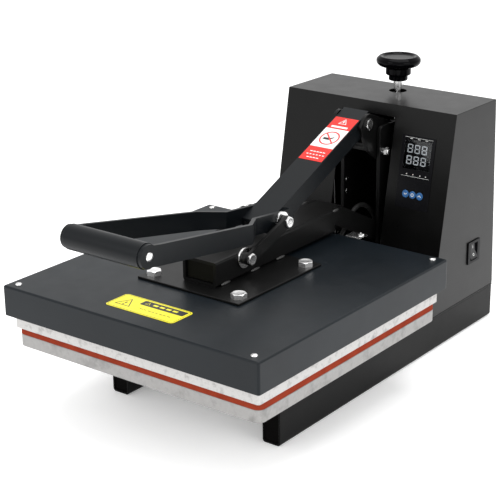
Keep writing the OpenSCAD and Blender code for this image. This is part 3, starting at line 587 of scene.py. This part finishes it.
cross_bolt("front_bolt_heads", FRONT_PIVOT, 37.3, hex_head(8, 3.2, 0.3, 0.2), "arm", "front_pivot_bolt",
           rings=((13, 26.0, 28.5),), sleeve=(7.5, 28.5, 32.7))
cross_bolt("toggle_bolt_heads", TOGGLE, 37.0, hex_head(8, 3.2, 0.55, 0.2), "links", "link_bolts",
           shank=(29.0, 37.5), sleeve=(7.5, 29.0, 33.0))
cross_bolt("lever_pivot_heads", LEVER_PIVOT, 25.9, hex_head(8.2, 2.4, 0.2, 0.2), "lever",
           "lever_pivot_bolt", shank=(0.0, 26.5))
cross_bolt("grip_rod_heads", centre_mm("grip_rod"), 61.0, rivet_head(5.5, 1.8), "lever", "grip_rod",
           shank=(0.0, 61.5), shank_r=4.0)


def rocker_bolt():
    """Head on the left, and a small nut that stands off the plate on the right."""
    head = moved(hex_head(8, 4, 0.2), basis((-32, 0, 0), (-1, 0, 0), (0, 1, 0)))
    nut = moved(join([hex_head(6.2, 4, 0.5, both=True), threaded(3.6, 3.5, 5.0)]),
                basis((37, 0, 0), (1, 0, 0), (0, 1, 0)))
    tip = moved(lathe([(5, 31), (5, 37.5)], 32), ACROSS)
    shank = moved(lathe([(5, -32), (5, 31)], 32), ACROSS)
    mesh = at(join([head, nut, tip]), ROCKER_PIVOT)
    new_piece("rocker_bolt_and_nut", mesh, MATERIALS["zinc"], "frame", ("rocker_pivot_bolt",))
    # The shank between the plates is drawn in the black sleeve finish, darker than the zinc head and nut.
    new_piece("rocker_bolt_shank", at(shank, ROCKER_PIVOT), SLEEVE_BLACK, "frame")


rocker_bolt()


def mount_heads():
    """Four hexagon bolts, each with a slightly dished head on the mount plate."""
    low, high = (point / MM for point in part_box("mount_bolts"))
    plate_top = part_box("mount_plate")[1].z / MM
    corner, height, shank_r = 10.0, 6.2, 4.9
    flat = corner * math.cos(math.pi / 6)
    places = [(x, y) for x in (low.x + corner, high.x - corner) for y in (low.y + flat, high.y - flat)]
    parts = []
    for (x, y), turn in zip(places, (0.25, 0.9, 0.6, 0.1)):
        shank = lathe([(shank_r, low.z - plate_top), (shank_r, 1)], 32)
        bolt = join([hex_head(corner, height, turn, 0.5), shank])
        parts.append(moved(bolt, Matrix.Translation((x, y, plate_top))))
    new_piece("mount_bolt_heads", join(parts), BRIGHT_ZINC, "arm", ("mount_bolts",))


mount_heads()


def cover_pan_heads():
    """Four low domed screws at the cover's corners."""
    low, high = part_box("cover_screws")
    r = 4.2
    parts = []
    for x in (low.x / MM + r, high.x / MM - r):
        for y in (low.y / MM + r, high.y / MM - r):
            parts.append(moved(pan_head(r, 2.4), Matrix.Translation((x, y, low.z / MM))))
    new_piece("cover_pan_heads", join(parts), MATERIALS["zinc"], "arm", ("cover_screws",))


cover_pan_heads()


def earth_bracket():
    """Folded zinc angle with a round bend, two screws on its leg and one on its flange."""
    low, high = (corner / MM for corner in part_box("earth_bracket"))
    x0, x1 = low.x, high.x
    bend = [(0.0, -18.0), (1.5, -18.0), (1.5, -3.0), (2.0, -1.9), (3.0, -1.5), (20.0, -1.5), (20.0, 0.0),
            (3.0, 0.0), (1.3, -0.5), (0.3, -1.5), (0.0, -3.0)]
    origin = Vector((0, low.y, high.z - 2.2))
    body = loft([[origin + Vector((x, y, z)) for y, z in bend] for x in (x0, x1)])
    parts = [body]
    for x in (x0 + 6, x1 - 6):
        parts.append(moved(pan_head(3.2, 2.0), basis(origin + Vector((x, 1.5, -10)), (0, 1, 0))))
    parts.append(moved(hex_head(4, 2.2, 0.3), Matrix.Translation(origin + Vector((x1 - 6, 13, 0)))))
    new_piece("earth_angle", join(parts), MATERIALS["zinc"], "arm", ("earth_bracket",))


earth_bracket()


# ---------------------------------------------------------------- knob
def knob():
    """Dished disc with a deep rim and a bowl-shaped underside on a stepped hub."""
    low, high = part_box("pressure_knob")
    top, foot, r = high.z / MM, low.z / MM, (high.x - low.x) / 2 / MM
    outline = [(0.0, top - 2.6), (r - 12, top - 2.6), (r - 7.8, top - 0.2), (r - 4.6, top),
               (r, top - 4.2), (r, top - 9.5), (r - 3.6, top - 13.8), (21, top - 15.4),
               (18, top - 16.5), (18, foot + 8.2), (13.5, foot + 7.8), (13.5, foot + 1), (12.4, foot),
               (6.0, foot)]
    profile = fillet(outline, 2.8, 6)
    mesh = moved(lathe([(0.01, top - 2.6)] + profile[1:] + [(5.2, foot), (5.2, foot + 6)], 96),
                 Matrix.Translation((0, KNOB_AXIS.y, 0)))
    new_piece("knob_moulding", mesh, MATERIALS["knob_plastic"], "knob", ("pressure_knob",))


knob()


def screw_thread():
    """The pressure screw with its thread, its neck and its three collars."""
    low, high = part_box("pressure_screw")
    z0, z1 = low.z / MM, high.z / MM
    parts = [threaded(5.0, z0, 288, 1.25)]
    parts.append(lathe([(5.0, 288), (5.0, 319), (4.0, 320), (4.0, 334), (5.0, 334), (5.0, z1)], 40))
    parts.append(lathe(fillet([(4.0, 333), (6.5, 333), (6.5, 344), (5.0, 344)], 0.6), 48))
    for z in (287.8, 310.2):
        parts.append(moved(lathe(fillet([(5.0, 0), (9, 0), (9, 6), (5.0, 6)], 0.6), 48),
                           Matrix.Translation((0, 0, z))))
    mesh = moved(join(parts), Matrix.Translation((0, KNOB_AXIS.y, 0)))
    new_piece("pressure_screw_thread", mesh, MATERIALS["zinc"], "knob", ("pressure_screw",))


screw_thread()


# ---------------------------------------------------------------- printed shapes
class Ink:
    """Flat printed shapes in a plane, each a closed slab of the same thickness."""

    def __init__(self, thickness):
        self.t = thickness
        self.parts = []

    def slab(self, outline):
        n = len(outline)
        vertices = [(x, y, 0) for x, y in outline] + [(x, y, self.t) for x, y in outline]
        faces = [list(range(n))[::-1], [n + i for i in range(n)]]
        faces += [[i, (i + 1) % n, n + (i + 1) % n, n + i] for i in range(n)]
        self.parts.append((vertices, faces))

    def bar(self, x0, y0, x1, y1):
        self.slab([(x0, y0), (x1, y0), (x1, y1), (x0, y1)])

    def disc(self, x, y, r, n=40):
        self.slab([(x + px, y + py) for px, py, pz in circle_points(r, 0, n)])

    def band(self, outer, inner):
        """The closed strip between two outlines with the same number of points."""
        n = len(outer)
        vertices = [(x, y, z) for z in (0, self.t) for loop in (outer, inner) for x, y in loop]
        faces = []
        for i in range(n):
            j = (i + 1) % n
            faces += [[i, j, n + j, n + i], [2 * n + i, 3 * n + i, 3 * n + j, 2 * n + j],
                      [i, 2 * n + i, 2 * n + j, j], [n + i, n + j, 3 * n + j, 3 * n + i]]
        self.parts.append((vertices, faces))

    def ring(self, x, y, r_out, r_in, n=48):
        def loop(r):
            return [(x + px, y + py) for px, py, pz in circle_points(r, 0, n)]
        self.band(loop(r_out), loop(r_in))

    def triangle(self, x, y, size, line):
        """An upright triangle outline about its middle."""
        def loop(r):
            return [(x + r * math.cos(a), y + r * math.sin(a))
                    for a in (math.pi / 2, math.pi * 7 / 6, math.pi * 11 / 6)]
        self.band(loop(size), loop(size - 2 * line))

    def stroke(self, x0, y0, x1, y1, width):
        d = Vector((x1 - x0, y1 - y0)).normalized() * width / 2
        self.slab([(x0 + d.y, y0 - d.x), (x1 + d.y, y1 - d.x), (x1 - d.y, y1 + d.x), (x0 - d.y, y0 + d.x)])

    def make(self, name, matrix, material, body, slot):
        return new_piece(name, moved(join(self.parts), matrix), material, body)


INK_T = 0.08


def rounded_outline(w, d, r, n=8):
    points = []
    for cx, cy, a0 in ((w / 2 - r, d / 2 - r, 0), (-w / 2 + r, d / 2 - r, 90),
                       (-w / 2 + r, -d / 2 + r, 180), (w / 2 - r, -d / 2 + r, 270)):
        for i in range(n + 1):
            a = math.radians(a0 + 90 * i / n)
            points.append((cx + r * math.cos(a), cy + r * math.sin(a)))
    return points


def caution_print():
    """Yellow label: a triangle on the left, a black heading strip and rows of marks."""
    low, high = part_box("caution_label")
    centre, size = mid(low, high) / MM, (high - low) / MM
    plane = basis((centre.x, centre.y, high.z / MM), (0, 0, 1))
    black = Ink(INK_T)
    black.band(rounded_outline(size.x - 3, size.y - 3, 4), rounded_outline(size.x - 4, size.y - 4, 3.6))
    black.triangle(-34, -3.5, 13.5, 1.1)
    black.stroke(-34, 0.5, -34, -4.5, 1.8)
    black.disc(-34, -7.4, 1.1)
    black.slab([(x + 15, y + 9.5) for x, y in rounded_outline(66, 12.5, 2)])
    for x, width in zip(range(-8, 40, 6), (4.6, 3.4, 4.8, 4.0, 3.2, 4.8, 3.8, 4.4)):
        black.bar(x, -7.4, x + width, -6.4)
    black.make("caution_black_ink", plane, INK_BLACK, "arm", "yellow_label")
    yellow = Ink(INK_T)
    plane_up = basis((centre.x, centre.y, high.z / MM + INK_T), (0, 0, 1))
    yellow.triangle(-9, 9.0, 4.2, 0.5)
    for i in range(4):
        yellow.bar(-1 + i * 10, 7.6, 6 + i * 10, 11.6)
    yellow.make("caution_yellow_marks", plane_up, MATERIALS["yellow_label"], "arm", "yellow_label")


caution_print()


def warning_print():
    """Label on the lever: white middle third with a barred ring, white marks on the red ends."""
    low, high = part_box("warning_label")
    rise = Vector((0, high.y - low.y, high.z - low.z - 0.0004)).normalized()
    normal = Vector((0, -rise.z, rise.y))
    length = math.hypot(high.y - low.y, high.z - low.z - 0.0004) / MM
    half_w = (high.x - low.x) / 2 / MM
    foot = Vector((0, low.y / MM, low.z / MM)) + normal * 0.4
    plane = basis(foot, normal, (1, 0, 0))
    white = Ink(INK_T)
    red_low, red_high = length * 0.30, length * 0.73
    white.bar(-half_w, red_low, half_w, red_high)
    for i, reach in enumerate((9, 13, 11)):
        y = red_low * (0.20 + 0.22 * i)
        for x in range(-reach, reach, 5):
            white.bar(x, y - 0.8, x + 3.8 - i % 2, y + 0.8)
    top = length - red_high
    white.triangle(0, red_high + top * 0.60, 7.6, 0.9)
    white.bar(-1, red_high + top * 0.56, 1, red_high + top * 0.72)
    white.bar(-13, red_high + top * 0.12, 13, red_high + top * 0.26)
    white.make("warning_white_ink", plane, INK_WHITE, "lever", "red_label")
    plane_up = basis(foot + normal * INK_T, normal, (1, 0, 0))
    ring = Ink(INK_T)
    middle = (red_low + red_high) / 2
    ring.ring(0, middle, 14.5, 12.4)
    ring.stroke(-9.5, middle + 9.5, 9.5, middle - 9.5, 2.1)
    ring.make("warning_red_ring", plane_up, INK_RED, "lever", "red_label")
    sign = Ink(INK_T * 0.5)
    sign.slab([(x - 1, y + middle - 1) for x, y in
               ((-8, -3), (2, -3), (4, -1), (8, 3.5), (6.5, 4.5), (2, 1.5), (-8, 1.5))])
    sign.make("warning_black_sign", plane_up, INK_BLACK, "lever", "red_label")


warning_print()


# ---------------------------------------------------------------- control panel
PANEL_T = 1.2
PANEL_LEAN = math.radians(10.5)
WINDOW_W, WINDOW_H, WINDOW_Y = 42.0, 40.0, 24.0
MARK_HALF_W = 22.0
BUTTON_Y = -30.6
BUTTON_PITCH = 11.2


def panel_plane(lift=0.0):
    """Middle of the control panel's face, X across and Y up the slope."""
    low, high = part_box("control_panel")
    normal = Vector((0, -math.cos(PANEL_LEAN), math.sin(PANEL_LEAN)))
    return basis(mid(low, high) / MM + normal * (PANEL_T / 2 + lift), normal)


def panel_marks():
    """Two thin lines with short marks and dots, above and below the display."""
    marks = Ink(INK_T)
    marks.bar(-MARK_HALF_W, 47.0, MARK_HALF_W, 47.3)
    for x in (-12, 0, 12):
        marks.bar(x - 2, 45.2, x + 2, 45.8)
    marks.bar(-MARK_HALF_W, -6.0, MARK_HALF_W, -5.7)
    for x in (-13, -3, 8, 17):
        marks.disc(x, -3.0, 0.7, 16)
    marks.make("panel_print", panel_plane(), PANEL_MARK_PAINTED_GLOW, "frame", "panel_film")


def display():
    """Black face behind the digits, and unit marks beside them."""
    face = Ink(0.05)
    face.slab([(x, y + WINDOW_Y) for x, y in rounded_outline(WINDOW_W, WINDOW_H, 0.3, 2)])
    face.make("display_face", panel_plane(-2.2), DISPLAY_BLACK, "frame", "panel_film")
    units = Ink(INK_T)
    for y in (WINDOW_Y + 8, WINDOW_Y - 8):
        units.ring(18.5, y + 1.5, 1.1, 0.7, 20)
        units.bar(17.6, y - 3, 19.6, y - 2.4)
    units.make("unit_marks", panel_plane(-2.15), UNIT_MARK_PAINTED_GLOW, "frame", "panel_film")


def button_icons():
    """Down, set and up: an arrow, a ring and an arrow."""
    for i, name in enumerate(("button_1", "button_2", "button_3")):
        mark = Ink(0.12)
        x = (i - 1) * BUTTON_PITCH
        if i == 1:
            mark.ring(x, BUTTON_Y, 2.3, 1.5, 24)
        else:
            s = 1 if i == 2 else -1
            mark.stroke(x - 2.2, BUTTON_Y - 1.1 * s, x + 0.2, BUTTON_Y + 1.2 * s, 0.8)
            mark.stroke(x + 2.2, BUTTON_Y - 1.1 * s, x - 0.2, BUTTON_Y + 1.2 * s, 0.8)
        mark.make("icon_" + name, panel_plane(0.6), PANEL_MARK_PAINTED_GLOW, name, "button_plastic")


def display_lens():
    """Smoked window in front of the digits."""
    lens = Ink(0.4)
    lens.slab([(x, y + WINDOW_Y) for x, y in rounded_outline(WINDOW_W - 0.2, WINDOW_H - 0.2, 0.6, 4)])
    lens.make("display_lens", panel_plane(-0.6), LENS, "frame", "panel_film")


panel_marks()
display()
button_icons()
display_lens()


# ---------------------------------------------------------------- louvres
BACK_LEAN = math.radians(2.6)
VENT_COLUMNS = (-60, 60)
VENT_ROWS = 6
VENT_Z0, VENT_PITCH = 200, 14
HOOD_SECTION = [(4.2, 0.0), (3.0, 2.2), (-0.6, 4.2), (-4.6, 4.8),
                (-4.6, 4.0), (-0.6, 3.4), (2.3, 1.4), (3.2, 0.0)]
HOOD_END = [(39, 0.02), (37.5, 0.45), (35, 0.85), (31, 1)]


def louvre_hoods():
    """A pressed hood over each vent slot of the back panel, open at its lower edge."""
    low, high = (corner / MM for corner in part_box("rear_panel"))
    normal = Vector((0, math.cos(BACK_LEAN), math.sin(BACK_LEAN)))
    rises = [(-x, rise) for x, rise in HOOD_END] + HOOD_END[::-1]
    parts = []
    for column in VENT_COLUMNS:
        for row in range(VENT_ROWS):
            z = VENT_Z0 + VENT_PITCH * row
            y = high.y - (z - low.z) * math.tan(BACK_LEAN)
            plane = basis((column, y, z), normal, (-1, 0, 0))
            parts.append(loft([[plane @ Vector((x, v, w * rise)) for v, w in HOOD_SECTION]
                               for x, rise in rises]))
    new_piece("louvre_hoods", join(parts), MATERIALS["housing_paint"], "frame")


louvre_hoods()


# ---------------------------------------------------------------- welds
def bead(start, end, r, ripples, seed):
    """A stack-of-coins weld bead lying along a line."""
    start, end = Vector(start), Vector(end)
    axis = (end - start).normalized()
    rings = []
    steps = ripples * 6
    for k in range(steps + 1):
        t = k / steps
        swell = math.sin(math.pi * min(1, max(0.03, t))) ** 0.35
        ripple = 0.88 + 0.12 * abs(math.sin(math.pi * ripples * t))
        wobble = 1 + 0.08 * noise.noise(Vector((seed, t * 6, 0)))
        radius = r * swell * ripple * wobble
        m = basis(start + (end - start) * t, axis, (0, 0, 1))
        rings.append([m @ Vector(point) for point in circle_points(radius, 0, 14)])
    return loft(rings)


ARM_TACKS = (-147, -88, -35)
TACK_HALF = 9


def arm_welds():
    """Three tacks along each foot of the arm, and a seam with a top tack on each fork leg."""
    low, high = (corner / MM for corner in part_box("swing_arm"))
    foot, top = low.z + 1.2, high.z - 0.5
    parts = []
    for side in (-1, 1):
        x = side * (high.x + 0.6)
        for i, y in enumerate(ARM_TACKS):
            parts.append(bead((x, y - TACK_HALF, foot), (x, y + TACK_HALF, foot), 2.4, 7, i + side))
    leg_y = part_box("fork_leg_right")[0].y / MM
    for side in (-1, 1):
        x = side * (high.x - 0.4)
        parts.append(bead((x, leg_y, high.z - 18), (x, leg_y, top), 1.5, 8, 9 + side))
        parts.append(bead((x, leg_y - 5, top), (x, leg_y + TACK_HALF, top), 2.0, 6, 5 + side))
    new_piece("arm_weld_beads", join(parts), WELD, "arm")


arm_welds()


# ---------------------------------------------------------------- heater lead
LEAD_ROUTE = [
    (12, 90, 150), (12, 99, 150), (12, 107, 150), (12, 116, 152), (12, 125, 158),
    (12, 133, 166), (12, 141, 175), (12, 150, 183), (12, 160, 188), (12, 170, 189),
    (12, 179, 187), (12, 187, 182.5), (12, 194, 177), (12, 200, 170.5), (12, 205, 163.5),
    (12, 210, 156), (11, 217, 150.5), (10, 224, 147.5), (9, 231, 145),
    (8, 240, 141), (3, 247, 137.5), (-5, 252, 132), (-15, 257, 125.5), (-27, 261, 117),
    (-36, 263.5, 110), (-44, 266, 101), (-50, 268, 91), (-54, 269, 81), (-57.5, 270, 72),
    (-61, 270, 66.5), (-65.8, 270, 66.5)]
LEAD_R = 3.2


def catmull(points, steps):
    """A smooth curve through the points."""
    points = [Vector(p) for p in points]
    out = []
    for i in range(len(points) - 1):
        a, b, c, d = points[max(i - 1, 0)], points[i], points[i + 1], points[min(i + 2, len(points) - 1)]
        for k in range(steps):
            t = k / steps
            out.append(0.5 * (2 * b + (c - a) * t + (2 * a - 5 * b + 4 * c - d) * t * t
                              + (3 * b - a - 3 * c + d) * t ** 3))
    return out + [points[-1]]


def heater_lead():
    """The lead from the cover's gland to the relay, passing beside the arm's pivot, built as one fixed tube."""
    path = catmull(LEAD_ROUTE, 5)
    rings = []
    for i, p in enumerate(path):
        ahead = path[min(i + 1, len(path) - 1)] - path[max(i - 1, 0)]
        m = basis(p, ahead, (1, 0.2, 0.1))
        rings.append([m @ Vector(point) for point in circle_points(LEAD_R, 0, 20)])
    mesh = bpy.data.meshes.new("heater_lead_sheath")
    vertices, faces = loft(rings)
    mesh.from_pydata([v * MM for v in vertices], [], faces)
    mesh.materials.append(MATERIALS["lead_rubber"])
    obj = bpy.data.objects.new("heater_lead_sheath", mesh)
    bpy.context.scene.collection.objects.link(obj)
    shade(obj)
    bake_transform(obj)
    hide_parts("heater_lead", "supply_lead")


heater_lead()


# ---------------------------------------------------------------- switch
SWITCH_Y = 268
ON_PLACE, ON_NORMAL = (138.06, SWITCH_Y, 125.1), (0.9997, 0, 0.0236)
OFF_PLACE, OFF_NORMAL = (139.8, SWITCH_Y, 114.06), (0.958, 0, 0.286)


def switch_marks():
    """The usual line and ring on the two halves of the switch's paddle."""
    line = Ink(INK_T)
    line.bar(-0.4, -2.0, 0.4, 2.0)
    ring = Ink(INK_T)
    ring.ring(0, 0, 2.0, 1.3, 32)
    for name, mark, place, normal in (("switch_on_mark", line, ON_PLACE, ON_NORMAL),
                                      ("switch_off_mark", ring, OFF_PLACE, OFF_NORMAL)):
        mark.make(name, basis(place, normal, (0, 1, 0)), PANEL_MARK_PAINTED_GLOW, "switch_paddle", "paddle_plastic")


switch_marks()


# ---------------------------------------------------------------- floor, lights and camera
FLOOR_REACH = 8.0
FLOOR_DROP = 0.0004


def stage():
    """A pale paper floor just under the rails."""
    floor_mesh = bpy.data.meshes.new("floor")
    corners = [(FLOOR_REACH * x, FLOOR_REACH * y, 0) for x, y in ((-1, -1), (1, -1), (1, 1), (-1, 1))]
    floor_mesh.from_pydata(corners, [], [[0, 1, 2, 3]])
    floor = bpy.data.objects.new("floor", floor_mesh)
    bpy.context.scene.collection.objects.link(floor)
    s = Shader("floor_paper", Roughness=0.9, Emission_Strength=0.22)
    s.bsdf.inputs["Emission Color"].default_value = (1, 1, 1, 1)
    s.set("Base Color", s.ramp(s.noise(3, 3), [(0.3, grey(0.95)), (0.7, grey(0.98))]))
    floor_mesh.materials.append(s.material)
    floor.location.z = -FLOOR_DROP


stage()


def area_light(name, place, target, size, power):
    """A rectangular soft box aimed at a point."""
    data = bpy.data.lights.new(name, "AREA")
    data.shape = "RECTANGLE"
    data.size, data.size_y = size
    data.energy = power
    lamp = bpy.data.objects.new(name, data)
    lamp.location = place
    lamp.rotation_euler = (Vector(target) - Vector(place)).to_track_quat("-Z", "Y").to_euler()
    bpy.context.scene.collection.objects.link(lamp)


def lights():
    """White surroundings, with a soft box above, one on the right and one in front."""
    world = bpy.data.worlds.new("studio")
    world.use_nodes = True
    background = world.node_tree.nodes["Background"]
    background.inputs["Color"].default_value = (1, 1, 1, 1)
    background.inputs["Strength"].default_value = 1.0
    bpy.context.scene.world = world
    area_light("overhead", (0.1, 0.3, 2.2), (0, 0, 0.2), (1.8, 1.6), 32)
    area_light("right_fill", (2.2, -0.3, 1.0), (0, 0, 0.15), (1.4, 1.2), 12.4)
    area_light("front_key", (-0.6, -2.2, 1.5), (0, -0.1, 0.15), (1.2, 1.0), 14)


lights()


CAMERA_AZIMUTH = math.radians(35.93)
CAMERA_ELEVATION = math.radians(19.8)
CAMERA_DISTANCE = 1.9138
CAMERA_TARGET = Vector((0.0043, 0.0381, 0.1592))
CAMERA_LENS = 103.6
CAMERA_SHIFT_X = -0.1


def camera():
    """Front right and a little above, as in a product picture."""
    data = bpy.data.cameras.new("camera")
    data.lens = CAMERA_LENS
    data.sensor_width = 36
    data.shift_x = CAMERA_SHIFT_X
    data.clip_start, data.clip_end = 0.05, 50
    obj = bpy.data.objects.new("camera", data)
    back = Vector((math.sin(CAMERA_AZIMUTH) * math.cos(CAMERA_ELEVATION),
                   -math.cos(CAMERA_AZIMUTH) * math.cos(CAMERA_ELEVATION), math.sin(CAMERA_ELEVATION)))
    obj.location = CAMERA_TARGET + back * CAMERA_DISTANCE
    obj.rotation_euler = (-back).to_track_quat("-Z", "Y").to_euler()
    bpy.context.scene.collection.objects.link(obj)
    bpy.context.scene.camera = obj


camera()
bpy.context.scene.view_settings.view_transform = "Standard"
